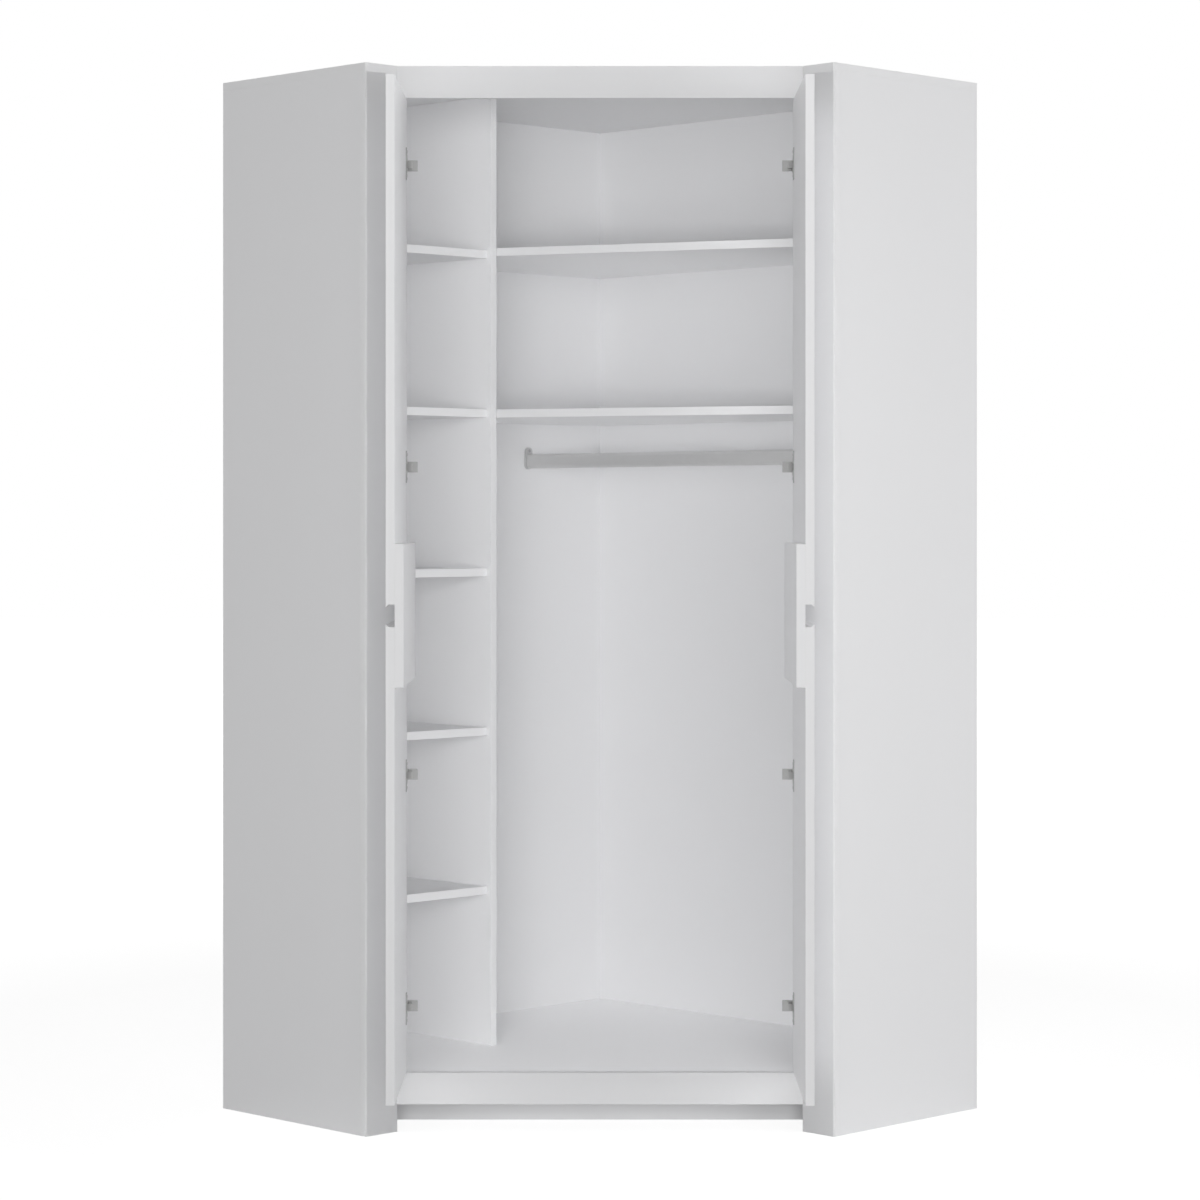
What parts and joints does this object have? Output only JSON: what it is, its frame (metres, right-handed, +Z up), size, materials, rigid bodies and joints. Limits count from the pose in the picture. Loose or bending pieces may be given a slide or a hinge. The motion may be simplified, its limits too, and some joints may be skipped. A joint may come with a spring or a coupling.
{
  "type": "corner wardrobe",
  "caption": "White corner wardrobe with angled sides, inset hinged doors with finger grooves, a shelf column, wide shelves and a hanging rail.",
  "frame": {"origin": "the room corner on the floor, where the two back panels meet", "axes": "+Z up; the front faces -Y, and the back panels stand at 45 degrees to it"},
  "size_m": [1.4708, 1.3409, 2],
  "materials": {
    "white_board": "satin white melamine",
    "hinge_steel": "nickel plated",
    "rail_steel": "satin plated",
    "dowel_wood": "plain beech"
  },
  "bodies": {
    "carcass": {"bottom_fascia": "white_board", "bottom_panel": "white_board", "carcass_screws": "hinge_steel", "hanging_rail": "rail_steel", "hinge_pins": "hinge_steel", "left_back_panel": "white_board", "left_front_post": "white_board", "left_hinge_arm_1": "hinge_steel", "left_hinge_arm_2": "hinge_steel", "left_hinge_arm_3": "hinge_steel", "left_hinge_arm_4": "hinge_steel", "left_hinge_plate_1": "hinge_steel", "left_hinge_plate_2": "hinge_steel", "left_hinge_plate_3": "hinge_steel", "left_hinge_plate_4": "hinge_steel", "left_hinge_stile": "white_board", "left_rail_socket": "rail_steel", "left_side_panel": "white_board", "lower_wide_shelf": "white_board", "partition": "white_board", "plinth_board": "white_board", "right_back_panel": "white_board", "right_front_post": "white_board", "right_hinge_arm_1": "hinge_steel", "right_hinge_arm_2": "hinge_steel", "right_hinge_arm_3": "hinge_steel", "right_hinge_arm_4": "hinge_steel", "right_hinge_plate_1": "hinge_steel", "right_hinge_plate_2": "hinge_steel", "right_hinge_plate_3": "hinge_steel", "right_hinge_plate_4": "hinge_steel", "right_hinge_stile": "white_board", "right_rail_socket": "rail_steel", "right_side_panel": "white_board", "shelf_dowels": "dowel_wood", "small_shelf_1": "white_board", "small_shelf_2": "white_board", "small_shelf_3": "white_board", "small_shelf_4": "white_board", "small_shelf_5": "white_board", "top_fascia": "white_board", "top_panel": "white_board", "upper_wide_shelf": "white_board", "wall_brackets": "hinge_steel"},
    "left_door": {"left_cup_screws": "hinge_steel", "left_door_handle_board": "white_board", "left_door_lower_panel": "white_board", "left_door_upper_panel": "white_board", "left_hinge_cup_1": "hinge_steel", "left_hinge_cup_2": "hinge_steel", "left_hinge_cup_3": "hinge_steel", "left_hinge_cup_4": "hinge_steel"},
    "right_door": {"right_cup_screws": "hinge_steel", "right_door_handle_board": "white_board", "right_door_lower_panel": "white_board", "right_door_upper_panel": "white_board", "right_hinge_cup_1": "hinge_steel", "right_hinge_cup_2": "hinge_steel", "right_hinge_cup_3": "hinge_steel", "right_hinge_cup_4": "hinge_steel"}
  },
  "joints": [
    {"name": "left_door_hinge", "type": "hinge", "parent": "carcass", "child": "left_door", "pos_m": [-0.37102, -0.97185, 0.97864], "axis": [0, 0, -1], "range_deg": [-90, 5]},
    {"name": "right_door_hinge", "type": "hinge", "parent": "carcass", "child": "right_door", "pos_m": [0.37102, -0.97185, 0.97864], "axis": [0, 0, 1], "range_deg": [-90, 5]}
  ]
}
